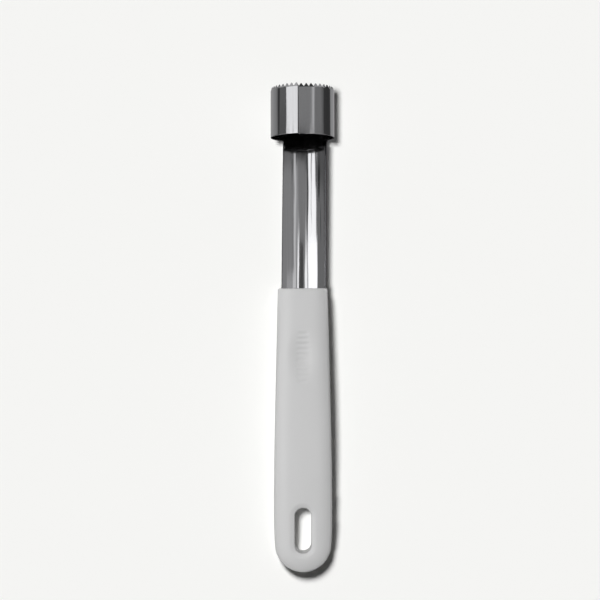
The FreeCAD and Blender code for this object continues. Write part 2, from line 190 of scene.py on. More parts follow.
blank_half = math.pi * RING_RADIUS - SEAM_TRIM
bpy.ops.object.mode_set(mode="OBJECT")
apply_modifier(
    blade, "ARRAY", count=TOOTH_COUNT, use_relative_offset=False,
    use_constant_offset=True, constant_offset_displace=(pitch * MM, 0, 0),
    use_merge_vertices=True, merge_threshold=MERGE_WITHIN,
)
bpy.ops.object.mode_set(mode="EDIT")
bpy.ops.mesh.select_all(action="SELECT")
bpy.ops.transform.translate(value=(-(TOOTH_COUNT - 1) / 2 * pitch * MM, 0, 0))
for side in (-1, 1):
    cut_along((side * blank_half, 0, 0), (side, 0, 0), clear_outer=True)
print(f"blank {2 * blank_half:.2f} mm wide")

# %% [markdown]
# The trough and the tang grow from the middle of the rear edge. The trough opens a little
# towards the handle, as it does on the real one, and the tang will hide inside the plastic.

# %% Trough and tang
TROUGH_LENGTH = 68.0
SHOULDER_DEPTH = 1.0
TANG_LENGTH = 46.0
NECK_HALF = 11.50
MOUTH_HALF = 11.74
TANG_HALF = 8.49
FLAT_ANGLE = math.radians(1)

shoulder_place = -(TROUGH_LENGTH + SHOULDER_DEPTH)
tang_place = -(TROUGH_LENGTH + TANG_LENGTH)


def mark_width(half):
    """Cut the blank lengthwise on both sides, so that an edge ends there."""
    for side in (-1, 1):
        cut_along((side * half, 0, 0), (1, 0, 0))


def merge_flat_faces():
    """Remove the edges between faces that lie flat beside each other."""
    bpy.ops.mesh.select_all(action="SELECT")
    bpy.ops.mesh.dissolve_limited(angle_limit=FLAT_ANGLE)


def pick_rear(place, half):
    """Select the edges that lie at a place along the blank, within a half width."""
    return pick("EDGE", lambda edge: abs(middle(edge).z - place) < NEARLY
                and abs(middle(edge).x) < half)


mark_width(NECK_HALF)
pick_rear(0, NECK_HALF)
extrude_by(0, 0, shoulder_place)
bpy.ops.transform.resize(value=(MOUTH_HALF / NECK_HALF, 1, 1))
merge_flat_faces()
mark_width(TANG_HALF)
pick_rear(shoulder_place, TANG_HALF)
extrude_by(0, 0, tang_place - shoulder_place)
merge_flat_faces()
print("outline of", len(bmesh.from_edit_mesh(blade.data).verts), "corners")

# %% [markdown]
# The blank gets its thickness, and its cut sides are marked for a finish of their own. Then
# come its corners: a die can't stamp a sharp inner corner, so the necks beside the trough and
# the valleys between the teeth are small arcs.

# %% Thickness and corners
SKIN_FINISH, CUT_FINISH = range(2)
THROUGH_SHARE = 0.9
CORNER_REACH = 0.02
NECK_ROUND = 1.2
SHOULDER_ROUND = 0.6
TANG_ROUND = 3.0
LARGE_STEPS = 6
SMALL_STEPS = 3


def goes_through(edge):
    """True for an edge that runs from the outer face to the inner one."""
    first, last = edge.verts
    return abs(first.co.y - last.co.y) > THROUGH_SHARE * SHEET * MM


def round_corners(radius, segments, places):
    """Round the upright corners at places given as (half width, height)."""
    def at_place(edge):
        """True for an edge through the sheet at one of the places."""
        spot = middle(edge)
        return goes_through(edge) and any(
            abs(abs(spot.x) - x) < CORNER_REACH and abs(spot.z - z) < CORNER_REACH
            for x, z in places
        )

    count = pick("EDGE", at_place)
    round_selected(radius, segments)
    print("rounded", count, "corners to", radius, "mm")


bpy.ops.mesh.select_all(action="SELECT")
extrude_by(0, -SHEET, 0)
bpy.ops.mesh.select_all(action="SELECT")
bpy.ops.mesh.normals_make_consistent(inside=False)
for face in bmesh.from_edit_mesh(blade.data).faces:
    face.material_index = CUT_FINISH if abs(face.normal.y) < FACING else SKIN_FINISH
shoulders = [(MOUTH_HALF, shoulder_place), (TANG_HALF, shoulder_place)]
round_corners(NECK_ROUND, LARGE_STEPS, [(NECK_HALF, 0)])
round_corners(SHOULDER_ROUND, SMALL_STEPS, shoulders)
round_corners(TANG_ROUND, LARGE_STEPS, [(TANG_HALF, tang_place)])
valleys = [(number * pitch, valley_place) for number in range(TOOTH_COUNT // 2)]
round_corners(VALLEY_RADIUS / math.tan(side_slope), SMALL_STEPS, valleys)

# %% [markdown]
# A tumbled steel edge is never knife sharp, and its tiny round catches a line of light. So
# every cut edge is softened, most of all at the strip's left end, where the shears pulled the
# skin over. The teeth are ground instead: the outer skin of their last 1.6 mm is turned
# inwards about its lower line, until the tips are thin.

# %% Soft edges and the grind
GROUND_LENGTH = 1.6
KEEN_EDGE = 0.15
EDGE_SOFTNESS = 0.08
SEAM_SOFTNESS = {-1: 0.35, 1: 0.08}  # left end, right end

ground_place = RING_LENGTH - GROUND_LENGTH


def is_seam_edge(edge, side):
    """True for the long edges of one end of the strip."""
    return side * middle(edge).x > blank_half - NEARLY and not goes_through(edge)


def is_cut_edge(edge):
    """True for an edge between the skin and a cut side, below the grind."""
    slopes = sorted(abs(face.normal.y) for face in edge.link_faces)
    highest = max(vertex.co.z for vertex in edge.verts) / MM
    sharp = slopes[0] < FACING < slopes[-1]
    return sharp and not goes_through(edge) and highest < ground_place


for side, softness in SEAM_SOFTNESS.items():
    pick("EDGE", lambda edge: is_seam_edge(edge, side))
    round_selected(softness, SMALL_STEPS)
pick("EDGE", is_cut_edge)
round_selected(EDGE_SOFTNESS, segments=2)
cut_along((0, 0, ground_place), (0, 0, 1))
pick("VERT", lambda vertex: vertex.co.z > (ground_place + NEARLY) * MM
     and vertex.co.y > -SHEET / 2 * MM)
bpy.ops.transform.rotate(
    value=-math.atan((SHEET - KEEN_EDGE) / GROUND_LENGTH), orient_axis="X",
    center_override=(0, 0, ground_place * MM),
)
print("ground the last", GROUND_LENGTH, "mm")

# %% [markdown]
# ## Rolling
# A flat face can't bend unless it has edges to bend at, so the blank is cut into narrow
# columns and long rows, with a narrow row at the ground line and at the rear rim, so that the
# smooth shading stays crisp there. A Simple Deform modifier rolls it. The strip's two ends
# stay straight over 2 mm, because rollers can't grip them, and that is why light breaks at a
# real seam.

# %% Columns, rows and the roll
COLUMNS_PER_TOOTH = 4
ROW_SPACING = 4.0
CRISP_ROW = 0.15
STRAIGHT_END = 2.0

column = pitch / COLUMNS_PER_TOOTH
last_column = int(blank_half / column)
for number in range(-last_column, last_column + 1):
    cut_along((number * column, 0, 0), (1, 0, 0))
row_count = int((ground_place - tang_place) / ROW_SPACING)
for number in range(1, row_count + 1):
    cut_along((0, 0, ground_place - number * ROW_SPACING), (0, 0, 1))
for place in (ground_place - CRISP_ROW, EDGE_SOFTNESS + CRISP_ROW):
    cut_along((0, 0, place), (0, 0, 1))

bpy.ops.object.mode_set(mode="OBJECT")
straight_share = STRAIGHT_END / (2 * blank_half)
apply_modifier(
    blade, "SIMPLE_DEFORM", deform_method="BEND", deform_axis="Z",
    limits=(straight_share, 1 - straight_share),
    angle=-2 * (blank_half - STRAIGHT_END) / RING_RADIUS,
)
report(blade)

# %% [markdown]
# The rolled blade is laid down along Y on the handle's line, its open side up. The real one
# isn't perfect: it is turned nearly seven degrees at the ring and half of that at the handle's
# mouth, and the strip's ends meet half a millimetre out of step. So each point is turned about
# the ring's axis by its place along it, and those near the seam are pushed along it.

# %% Lay it down, twist it, and set the seam out of step
RIM_PLACE = 88.3
MOUTH_PLACE = 20.3
BACK_WALL = 2.0
RING_TURN = 6.8
MOUTH_TURN = 3.5
TURN_END = -0.2  # the turn stops changing this share of the trough's length into the handle
SEAM_STEPS = {-1: 0.27, 1: -0.20}
SEAM_REACH = 13.0
BLADE_SMOOTH = math.radians(30)

blade.rotation_euler = (-math.pi / 2, 0, 0)
blade.location = Vector((0, RIM_PLACE, BACK_WALL)) * MM
bpy.ops.object.transform_apply(location=True, rotation=True, scale=True)

axis_height = BACK_WALL + RING_RADIUS
for vertex in blade.data.vertices:
    x, y, z = vertex.co / MM
    side = 1 if x > 0 else -1
    angle = math.atan2(abs(x), z - axis_height)
    closeness = max(0, 1 - angle * RING_RADIUS / SEAM_REACH)
    share = min(1, max(TURN_END, (y - MOUTH_PLACE) / (RIM_PLACE - MOUTH_PLACE)))
    turn = math.radians(MOUTH_TURN + (RING_TURN - MOUTH_TURN) * share)
    height = z - axis_height
    vertex.co = Vector((
        x * math.cos(turn) - height * math.sin(turn),
        y + SEAM_STEPS[side] * closeness ** 2,
        axis_height + x * math.sin(turn) + height * math.cos(turn),
    )) * MM
bpy.ops.object.shade_smooth_by_angle(angle=BLADE_SMOOTH)
apply_modifier(blade, "WEIGHTED_NORMAL", keep_sharp=True)
report(blade)

# %% [markdown]
# ## The handle: half an outline
# The handle is one moulding, the same left and right, so half of it is modelled and mirrored.
# Its plan is drawn as a draughtsman would: one point is spun about each arc's centre in turn,
# round the tail, into the long side, forward to the mouth, and back along the middle round
# the hang slot.

# %% Half the plan outline
TAIL_PLACE = -111.2
TAIL_RADIUS = 13.0
BELLY_HALF = 13.42
BELLY_PLACE = -86.0
SIDE_RADIUS = 1764.0
MOUTH_WIDTH_HALF = 11.45
SLOT_HALF = 3.8
SLOT_UPPER = -84.2
SLOT_LOWER = -98.0

tail_centre = TAIL_PLACE + TAIL_RADIUS
belly_gap = BELLY_PLACE - tail_centre
blend_radius = (
    (BELLY_HALF ** 2 + belly_gap ** 2 - TAIL_RADIUS ** 2)
    / (2 * (BELLY_HALF - TAIL_RADIUS))
)
blend_angle = math.atan2(belly_gap, blend_radius - BELLY_HALF)
run = MOUTH_PLACE - BELLY_PLACE
narrowing = BELLY_HALF - MOUTH_WIDTH_HALF
side_run = run - math.sqrt(run ** 2 - 2 * narrowing * SIDE_RADIUS)
side_angle = side_run / SIDE_RADIUS


def spin_to(centre_x, centre_y, angle, steps):
    """Draw an arc on from the selected point; a positive angle turns it to the left."""
    bpy.ops.mesh.spin(
        steps=steps, angle=-angle, center=Vector((centre_x, centre_y, 0)) * MM,
        axis=(0, 0, 1),
    )


def line_to(x, y):
    """Draw a straight line on from the selected point."""
    mesh = bmesh.from_edit_mesh(bpy.context.object.data)
    here = next(vertex for vertex in mesh.verts if vertex.select).co / MM
    extrude_by(x - here.x, y - here.y, 0)


clear_selection()
bpy.ops.mesh.primitive_plane_add(size=1)
handle = bpy.context.object
handle.name = "handle_plastic"
bpy.ops.object.mode_set(mode="EDIT")
bpy.ops.mesh.merge(type="CENTER")
bpy.ops.transform.translate(value=(0, TAIL_PLACE * MM, 0))
spin_to(0, tail_centre, math.pi / 2 - blend_angle, steps=28)
spin_to(BELLY_HALF - blend_radius, BELLY_PLACE, blend_angle, steps=4)
spin_to(BELLY_HALF - SIDE_RADIUS, BELLY_PLACE, side_angle, steps=8)
line_to(MOUTH_WIDTH_HALF, MOUTH_PLACE)
line_to(0, MOUTH_PLACE)
line_to(0, SLOT_UPPER + SLOT_HALF)
spin_to(0, SLOT_UPPER, -math.pi / 2, steps=10)
line_to(SLOT_HALF, SLOT_LOWER)
spin_to(0, SLOT_LOWER, -math.pi / 2, steps=10)
line_to(0, TAIL_PLACE)
bpy.ops.mesh.select_all(action="SELECT")
bpy.ops.mesh.remove_doubles(threshold=MERGE_WITHIN)
bpy.ops.mesh.edge_face_add()
mesh = bmesh.from_edit_mesh(handle.data)
print("half outline of", len(mesh.verts), "points,", len(mesh.faces), "face")

# %% [markdown]
# The outline is raised to a block, as thick as the handle's thickest place. The block is
# mirrored before its edges are rounded, so that each round runs along a whole loop and no
# bevel has to end at the middle: small rounds along the top, wider ones along the back, and
# little ones round the mouth's face and the slot's rims.

# %% Block and rounds
PALM_THICKNESS = 13.5
TOP_ROUND = 1.3
BACK_ROUND = 3.0
MOUTH_ROUND = 0.9
SLOT_ROUND = 0.5


def in_slot(spot):
    """True for a place within the slot's walls, seen from above."""
    reach = SLOT_HALF + NEARLY
    return abs(spot.x) < reach and SLOT_LOWER - reach < spot.y < SLOT_UPPER + reach


def is_outer_edge(edge, height):
    """True for an edge of the outline at a height, apart from the mouth and the slot."""
    first, last = (vertex.co / MM for vertex in edge.verts)
    level = abs(first.z - height) < NEARLY and abs(last.z - height) < NEARLY
    on_middle = abs(first.x) < NEARLY and abs(last.x) < NEARLY
    at_mouth = min(first.y, last.y) > MOUTH_PLACE - NEARLY
    return level and not (on_middle or at_mouth or in_slot((first + last) / 2))


def bounds_face(edge, is_face):
    """True for an edge between a face that passes a test and one that doesn't."""
    return sorted(is_face(face) for face in edge.link_faces) == [False, True]


bpy.ops.mesh.select_all(action="SELECT")
extrude_by(0, 0, PALM_THICKNESS)
bpy.ops.mesh.select_all(action="SELECT")
bpy.ops.mesh.normals_make_consistent(inside=False)
pick("FACE", lambda face: all(abs(vertex.co.x) < NEARLY * MM for vertex in face.verts))
bpy.ops.mesh.delete(type="FACE")
bpy.ops.object.mode_set(mode="OBJECT")
apply_modifier(
    handle, "MIRROR", use_axis=(True, False, False), use_clip=True,
    merge_threshold=MERGE_WITHIN,
)
bpy.ops.object.mode_set(mode="EDIT")
bpy.ops.mesh.select_all(action="SELECT")
bpy.ops.mesh.normals_make_consistent(inside=False)

pick("EDGE", lambda edge: is_outer_edge(edge, PALM_THICKNESS))
round_selected(TOP_ROUND, segments=8)
pick("EDGE", lambda edge: is_outer_edge(edge, 0))
round_selected(BACK_ROUND, segments=6)
pick("EDGE", lambda edge: bounds_face(
    edge, lambda face: middle(face).y > MOUTH_PLACE - NEARLY
))
round_selected(MOUTH_ROUND, segments=4)
pick("EDGE", lambda edge: in_slot(middle(edge))
     and bounds_face(edge, lambda face: abs(face.normal.z) < FACING))
round_selected(SLOT_ROUND, segments=4)
print("rounded block of", len(bmesh.from_edit_mesh(handle.data).faces), "faces")

# %% [markdown]
# ## The handle's crown
# The top isn't flat: it is highest where the palm presses, falls away to the tail and the
# mouth, and rolls over towards its sides. A flat face can't follow that, so it is cut into a
# grid first, finer where the thumb rest and the slot's lip will be. Then every point of the
# top sinks by what the form asks.

# %% Grid
THUMB_PLACE = -10.3
THUMB_HALF_LENGTH = 13.7
THUMB_HALF_WIDTH = 8.2
THUMB_MARGIN = 1.5
MOUTH_MARGIN = 1.2
ACROSS, ALONG = range(2)


def slice_between(axis, first, last, step):
    """Cut the mesh across one axis at even steps in millimetres."""
    normal = Vector((axis == ACROSS, axis == ALONG, 0))
    count = round((last - first) / step)
    for number in range(count + 1):
        cut_along(normal * (first + number * step), normal)


thumb_start = THUMB_PLACE - THUMB_HALF_LENGTH - THUMB_MARGIN
thumb_end = THUMB_PLACE + THUMB_HALF_LENGTH + THUMB_MARGIN
SLICES = [
    # axis, first, last and step
    (ALONG, -109.4, -77.2, 0.7),
    (ALONG, -75.5, thumb_start, 2.0),
    (ALONG, thumb_start, thumb_end, 0.3),
    (ALONG, thumb_end, MOUTH_PLACE - MOUTH_MARGIN, 1.5),
    (ACROSS, -10.8, 10.8, 0.6),
]
for slices in SLICES:
    slice_between(*slices)
bpy.ops.object.mode_set(mode="OBJECT")
report(handle)

# %% Crown and shoulders
CROWN_RADIUS = 80.0
TOP_RADIUS = 528.3
PALM_PLACE = -30.0
MOUTH_FLATNESS = 0.7
SHOULDER_WIDTH = 7.6
SHOULDER_FALL = 1.9
SHOULDER_POWER = 2.5


def ease(share):
    """A smooth step from 0 to 1."""
    share = min(1, max(0, share))
    return share * share * (3 - 2 * share)


def crown_fall(x, y):
    """A long arc from tail to mouth, and a round one across that flattens at the mouth."""
    across = CROWN_RADIUS - math.sqrt(CROWN_RADIUS ** 2 - x ** 2)
    across *= 1 - MOUTH_FLATNESS * ease((y - THUMB_PLACE) / (MOUTH_PLACE - THUMB_PLACE))
    return TOP_RADIUS - math.sqrt((TOP_RADIUS - across) ** 2 - (y - PALM_PLACE) ** 2)


def inset(x, y):
    """How far inside the outline a place is."""
    if y < tail_centre:
        return TAIL_RADIUS - math.hypot(x, y - tail_centre)
    radius = blend_radius if y < BELLY_PLACE else SIDE_RADIUS
    bow = radius - math.sqrt(radius ** 2 - (y - BELLY_PLACE) ** 2)
    return BELLY_HALF - bow - abs(x)


def shoulder_fall(x, y):
    """The top rolls over towards the outline, steeper and steeper."""
    share = min(1, max(0, 1 - inset(x, y) / SHOULDER_WIDTH))
    return SHOULDER_FALL * share ** SHOULDER_POWER


print(f"the middle of the tail's top falls {crown_fall(0, TAIL_PLACE):.2f} mm,", end=" ")
print(f"the mouth's {crown_fall(0, MOUTH_PLACE):.2f} mm")

# %% [markdown]
# The thumb rest is a shallow oval dish with ten faint grooves across it. In a real mould a
# ball-ended tool cuts them, and a cosine wave gives the same soft shape. The skin also sinks
# a little towards the slot.

# %% Thumb dish, grooves and lip
DISH_DEPTH = 1.15
GROOVES_PLACE = -11.2
GROOVE_COUNT = 10
GROOVE_PITCH = 2.42
GROOVE_HALF = 3.6
GROOVE_DEPTH = 0.28
GROOVE_FADE = 1.2
GROOVE_SHORTENING = 0.3  # of the outermost grooves
LIP_WIDTH = 2.4
LIP_FALL = 0.55


def dish_fall(x, y):
    """The oval dish, deepest in its middle, with no rim."""
    along = (y - THUMB_PLACE) / THUMB_HALF_LENGTH
    spread = math.hypot(x / THUMB_HALF_WIDTH, along)
    return DISH_DEPTH * ease(1 - spread)


def groove_fall(x, y):
    """Ten rounded grooves that fade towards their ends."""
    place = (y - GROOVES_PLACE) / GROOVE_PITCH
    if abs(place) > GROOVE_COUNT / 2:
        return 0
    half = GROOVE_HALF * (1 - GROOVE_SHORTENING * abs(2 * place / GROOVE_COUNT) ** 3)
    wave = (1 - math.cos(2 * math.pi * (place + GROOVE_COUNT / 2))) / 2
    return GROOVE_DEPTH * wave * ease((half - abs(x)) / GROOVE_FADE)


def lip_fall(x, y):
    """The skin sinks a little towards the slot, as it does round a moulded hole."""
    nearest = min(max(y, SLOT_LOWER), SLOT_UPPER)
    distance = math.hypot(x, y - nearest) - SLOT_HALF
    return LIP_FALL * ease(1 - distance / LIP_WIDTH)


print(GROOVE_COUNT, "grooves over", round(GROOVE_COUNT * GROOVE_PITCH, 1), "mm")

# %% [markdown]
# Each point of the top and of its rounds sinks by the sum of these falls. The slot's walls and
# the sides stay as they are, so the handle keeps its plan.

# %% Sink the top
FALLS = (crown_fall, shoulder_fall, dish_fall, groove_fall, lip_fall)
ROUND_MARGIN = 0.1
HANDLE_SMOOTH = math.radians(35)

top_zone = PALM_THICKNESS - TOP_ROUND - ROUND_MARGIN
lip_zone = PALM_THICKNESS - SLOT_ROUND - ROUND_MARGIN
for vertex in handle.data.vertices:
    x, y, z = vertex.co / MM
    slot_wall = in_slot(Vector((x, y, 0))) and z < lip_zone
    if z > top_zone and not slot_wall:
        vertex.co.z = (z - sum(fall(x, y) for fall in FALLS)) * MM
bpy.ops.object.shade_smooth_by_angle(angle=HANDLE_SMOOTH)
report(handle)

# %% [markdown]
# ## Ride and replace
# Nothing moves on a corer, so both skins ride on the part's one body. Each stands for its
# solid, which then isn't drawn.

# %% Ride
for piece, node, material_slot in (
    (blade, "blade", "polished_steel"),
    (handle, "handle", "satin_plastic"),
):
    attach(piece, "root")
    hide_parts(node)
    print(piece.name, "stands for", node)

# %% [markdown]
# ## Finishes
# One function turns the hex colours that a paint chart gives into the linear values that
# light is worked out in, and one adds a shader node with its settings and links.

# %% Colour and nodes


def linear(hex_colour):
    """A #rrggbb colour as linear red, green, blue and alpha, by the sRGB formula."""
    parts = [int(hex_colour[start:start + 2], 16) / 255 for start in (1, 3, 5)]
    return [p / 12.92 if p <= 0.04045 else ((p + 0.055) / 1.055) ** 2.4 for p in parts] + [1]


def add_node(tree, kind, settings=None, links=None, **properties):
    """Add a node: its properties, the values of its inputs, and what is linked to them."""
    node = tree.nodes.new(f"ShaderNode{kind}")
    for name, setting in properties.items():
        setattr(node, name, setting)
    for name, setting in (settings or {}).items():
        node.inputs[name].default_value = setting
    for name, source in (links or {}).items():
        tree.links.new(source, node.inputs[name])
    return node


def new_material(name):
    """A material with no nodes yet, and its tree."""
    material = bpy.data.materials.new(name)
    material.use_nodes = True
    material.node_tree.nodes.clear()
    return material, material.node_tree


def finish_with(tree, shader):
    """Send a shader to the material's output."""
    output = add_node(tree, "OutputMaterial")
    tree.links.new(shader.outputs[0], output.inputs["Surface"])


def object_pattern(tree, size_mm):
    """Object coordinates, scaled so that one unit of a pattern has this size on each axis."""
    place = add_node(tree, "TexCoord")
    scale = [1 / (size * MM) for size in size_mm]
    return add_node(
        tree, "Mapping", {"Scale": scale}, {"Vector": place.outputs["Object"]}
    ).outputs["Vector"]


# %% [markdown]
# ### Polished stainless steel
# Cold-rolled strip, polished: a mirror with the mill's fine lines along its length, and a
# surface that isn't quite true, so straight reflections waver. The lines are a noise pattern
# drawn out along the strip, which also makes the polish a little uneven, and a coarser and
# slower one gives the waver.

# %% Steel
LINE_SIZE = (0.35, 45.0, 0.35)  # millimetres across, along and up, as for each size below
LINE_DEPTH = 0.0015
WAVER_SIZE = (5.0, 24.0, 5.0)
WAVER_DEPTH = 0.09

steel, tree = new_material("polished_stainless_steel")
lines = add_node(
    tree, "TexNoise", {"Scale": 1.0, "Detail": 3.0, "Roughness": 0.6},
    {"Vector": object_pattern(tree, LINE_SIZE)},
)
waver = add_node(
    tree, "TexNoise", {"Scale": 1.0, "Detail": 1.0},
    {"Vector": object_pattern(tree, WAVER_SIZE)},
)
roughness = add_node(
    tree, "MapRange",
    {"From Min": 0.3, "From Max": 0.7, "To Min": 0.05, "To Max": 0.11},
    {"Value": lines.outputs[0]},
)
streaks = add_node(
    tree, "MixRGB", {"Color1": linear("#bebec0"), "Color2": linear("#ceced0")},
    {"Fac": lines.outputs[0]},
)
line_bump = add_node(
    tree, "Bump", {"Strength": 1.0, "Distance": LINE_DEPTH * MM},
    {"Height": lines.outputs[0]},
)
wave_bump = add_node(
    tree, "Bump", {"Strength": 1.0, "Distance": WAVER_DEPTH * MM},
    {"Height": waver.outputs[0], "Normal": line_bump.outputs[0]},
)
shader = add_node(
    tree, "BsdfPrincipled", {"Metallic": 1.0},
    {
        "Base Color": streaks.outputs[0], "Roughness": roughness.outputs[0],
        "Normal": wave_bump.outputs[0],
    },
)
finish_with(tree, shader)
print(steel.name, "with lines", LINE_SIZE[0], "mm apart")

# %% [markdown]
# The cut sides of the strip were sheared by the die and never polished: dull and darker, with
# small tears where the steel gave way.

# %% Cut edge
TEAR_SIZE = (0.3, 0.3, 0.3)
TEAR_DEPTH = 0.01

sheared, tree = new_material("sheared_steel_edge")
tears = add_node(
    tree, "TexNoise", {"Scale": 1.0, "Detail": 2.0},
    {"Vector": object_pattern(tree, TEAR_SIZE)},
)
tear_bump = add_node(
    tree, "Bump", {"Strength": 1.0, "Distance": TEAR_DEPTH * MM},
    {"Height": tears.outputs[0]},
)
shade = add_node(
    tree, "MixRGB", {"Color1": linear("#626264"), "Color2": linear("#808082")},
    {"Fac": tears.outputs[0]},
)
shader = add_node(
    tree, "BsdfPrincipled", {"Metallic": 1.0, "Roughness": 0.4},
    {"Base Color": shade.outputs[0], "Normal": tear_bump.outputs[0]},
)
finish_with(tree, shader)
blade.data.materials.append(steel)
blade.data.materials.append(sheared)
print(blade.name, "wears", [material.name for material in blade.data.materials])

# %% [markdown]
# ### Satin plastic
# Polypropylene from a mould with a fine matt grain. The grain is finer than a pixel, so it
# mostly softens the gloss. The melt flowed in lengthwise, which leaves the grey a touch uneven.

# %% Plastic
GRAIN_SIZE = (0.3, 0.3, 0.3)
GRAIN_DEPTH = 0.008
FLOW_SIZE = (14.0, 40.0, 14.0)

plastic, tree = new_material("satin_polypropylene")
grain = add_node(
    tree, "TexNoise", {"Scale": 1.0, "Detail": 2.0},
    {"Vector": object_pattern(tree, GRAIN_SIZE)},
)
flow = add_node(
    tree, "TexNoise", {"Scale": 1.0, "Detail": 2.0},
    {"Vector": object_pattern(tree, FLOW_SIZE)},
)
colour = add_node(
    tree, "MixRGB", {"Color1": linear("#c0c0c0"), "Color2": linear("#c5c5c5")},
    {"Fac": flow.outputs[0]},
)
grain_bump = add_node(
    tree, "Bump", {"Strength": 1.0, "Distance": GRAIN_DEPTH * MM},
    {"Height": grain.outputs[0]},
)
shader = add_node(
    tree, "BsdfPrincipled",
    {"Roughness": 0.42, "IOR": 1.49},
    {"Base Color": colour.outputs[0], "Normal": grain_bump.outputs[0]},
)
finish_with(tree, shader)
handle.data.materials.append(plastic)
print(handle.name, "wears", plastic.name)

# %% [markdown]
# ## The table and the light
# A pale table in a pale room. The table is eight sheets, each with a lamp of its own that is
# just as bright, because the picture's shadow is as wide beside the flat handle as beside the
# tall ring. So the ring's sheets have steep lamps, and the handle's sheets lower ones. The
# tool has two of its own, one nearly overhead and a wide one from the left. Light linking
# keeps each lamp to what it is for.

# %% Paper and sheets
paper, tree = new_material("matt_paper")
finish_with(tree, add_node(
    tree, "BsdfPrincipled",
    {"Base Color": linear("#f6f6f4"), "Roughness": 0.9, "Specular IOR Level": 0.1},
))


def add_sheet(name, width, start, end, height=0):
    """One sheet of the table: its width, its two ends along the tool and its height."""
    clear_selection()
    bpy.ops.mesh.primitive_plane_add(size=1, location=(0, (start + end) / 2, height))
    sheet = bpy.context.object
    sheet.name = name
    sheet.scale = (width, end - start, 1)
    sheet.data.materials.append(paper)
    sheet.visible_glossy = False
    return sheet


def hide_from_light(thing, **seen):
    """Let a thing be seen only by the kinds of ray that are named."""
    for kind in ("camera", "diffuse", "glossy", "transmission", "volume_scatter", "shadow"):
        setattr(thing, f"visible_{kind}", seen.get(kind, False))


# %% Room and sky
ROOM_RADIUS = 5.5
ROOM_GLOW = 0.90
SKY_GLOW = 0.035
WHITE = (1, 1, 1, 1)

bpy.ops.mesh.primitive_uv_sphere_add(segments=48, ring_count=24, radius=ROOM_RADIUS)
room = bpy.context.object
room.name = "room"
wall, tree = new_material("pale_wall")
finish_with(tree, add_node(
    tree, "Emission", {"Color": WHITE, "Strength": ROOM_GLOW}
))
room.data.materials.append(wall)
hide_from_light(room, camera=True)

world = bpy.data.worlds.new("sky")
scene.world = world
world.use_nodes = True
backdrop = world.node_tree.nodes["Background"]
backdrop.inputs["Color"].default_value = WHITE
backdrop.inputs["Strength"].default_value = SKY_GLOW
world.cycles_visibility.glossy = False
scene.view_settings.view_transform = "Standard"
print("room", 2 * ROOM_RADIUS, "m across")

# %% [markdown]
# A lamp's slant decides how far a shadow reaches, and its size how soft the shadow is. The
# lines between the sheets lie where the shadow's outline in the picture changes.

# %% Lamps
TABLE_LIGHT = 3.0
TABLE_SIZE = 12.0
TABLE_START = -TABLE_SIZE / 2
TABLE_END = TABLE_SIZE / 2
TAIL_LINE = -102.0 * MM
SLOT_LINE = -89.0 * MM
GRIP_LINE = -77.0 * MM
MOUTH_LINE = MOUTH_PLACE * MM
NECK_LINE = 86.5 * MM
RING_MIDDLE = 99.5 * MM
SLOT_SHEET_WIDTH = 14.0 * MM
SLOT_SHEET_START = (SLOT_LOWER - 8.0) * MM
SLOT_SHEET_END = (SLOT_UPPER + 8.0) * MM
SHEET_STEP = 0.02 * MM  # the slot's sheet lies this much above the others


def direction_to(angle, tilt):
    """A direction at an angle from overhead, positive to the right, tilted along the tool."""
    angle, tilt = math.radians(angle), math.radians(tilt)
    return Vector((
        math.sin(angle) * math.cos(tilt), math.sin(tilt), math.cos(angle) * math.cos(tilt)
    ))


def add_lamp(name, angle, tilt, strength, softness, lit):
    """A lamp so far away that it lights a whole table alike. Its strength counts on the table,
    whatever its slant; its softness is in degrees; it lights only the things given."""
    way = direction_to(angle, tilt)
    bpy.ops.object.light_add(type="SUN", location=way)
    lamp = bpy.context.object
    lamp.name = name
    lamp.rotation_mode = "QUATERNION"
    lamp.rotation_quaternion = way.to_track_quat("Z", "Y")
    lamp.data.energy = strength / way.z
    lamp.data.angle = math.radians(softness)
    lamp.visible_glossy = False
    receivers = bpy.data.collections.new(name + "_receivers")
    for thing in lit:
        receivers.objects.link(thing)
    lamp.light_linking.receiver_collection = receivers


SHEETS = [
    # name, width, two ends along the tool, height; its lamp's angle, tilt and softness
    ("tail_sheet", TABLE_SIZE, TABLE_START, TAIL_LINE, 0, -22, 42, 17),
    ("hook_sheet", TABLE_SIZE, TAIL_LINE, SLOT_LINE, 0, -26, 36, 17),
    ("grip_end_sheet", TABLE_SIZE, SLOT_LINE, GRIP_LINE, 0, -23.5, 32, 17),
    ("grip_sheet", TABLE_SIZE, GRIP_LINE, MOUTH_LINE, 0, -21, 29, 17),
    ("trough_sheet", TABLE_SIZE, MOUTH_LINE, NECK_LINE, 0, -16.5, -5, 22),
    ("ring_rear_sheet", TABLE_SIZE, NECK_LINE, RING_MIDDLE, 0, -9.6, 2, 9.5),
    ("ring_front_sheet", TABLE_SIZE, RING_MIDDLE, TABLE_END, 0, -9.6, -6, 9.5),
    ("slot_sheet", SLOT_SHEET_WIDTH, SLOT_SHEET_START, SLOT_SHEET_END, SHEET_STEP, -15, 22, 15),
]
TOOL_LAMPS = [
    # name, angle, tilt, strength and softness
    ("overhead_lamp", -10.5, 14, 2.80, 13),
    ("left_lamp", -48, 5, 0.24, 35),
]
for name, width, start, end, height, angle, tilt, softness in SHEETS:
    sheet = add_sheet(name, width, start, end, height)
    add_lamp(name + "_lamp", angle, tilt, TABLE_LIGHT, softness, (sheet,))
for lamp in TOOL_LAMPS:
    add_lamp(*lamp, (blade, handle))
print(len(SHEETS), "sheets and", len(SHEETS) + len(TOOL_LAMPS), "lamps")

# %% [markdown]
# ## What the steel mirrors
# Polished steel shows little colour of its own, only what stands round it. So cards do what
# the studio's softboxes, walls, table and camera did. They show in reflections alone, and
# their edges fade, as a softbox's do.

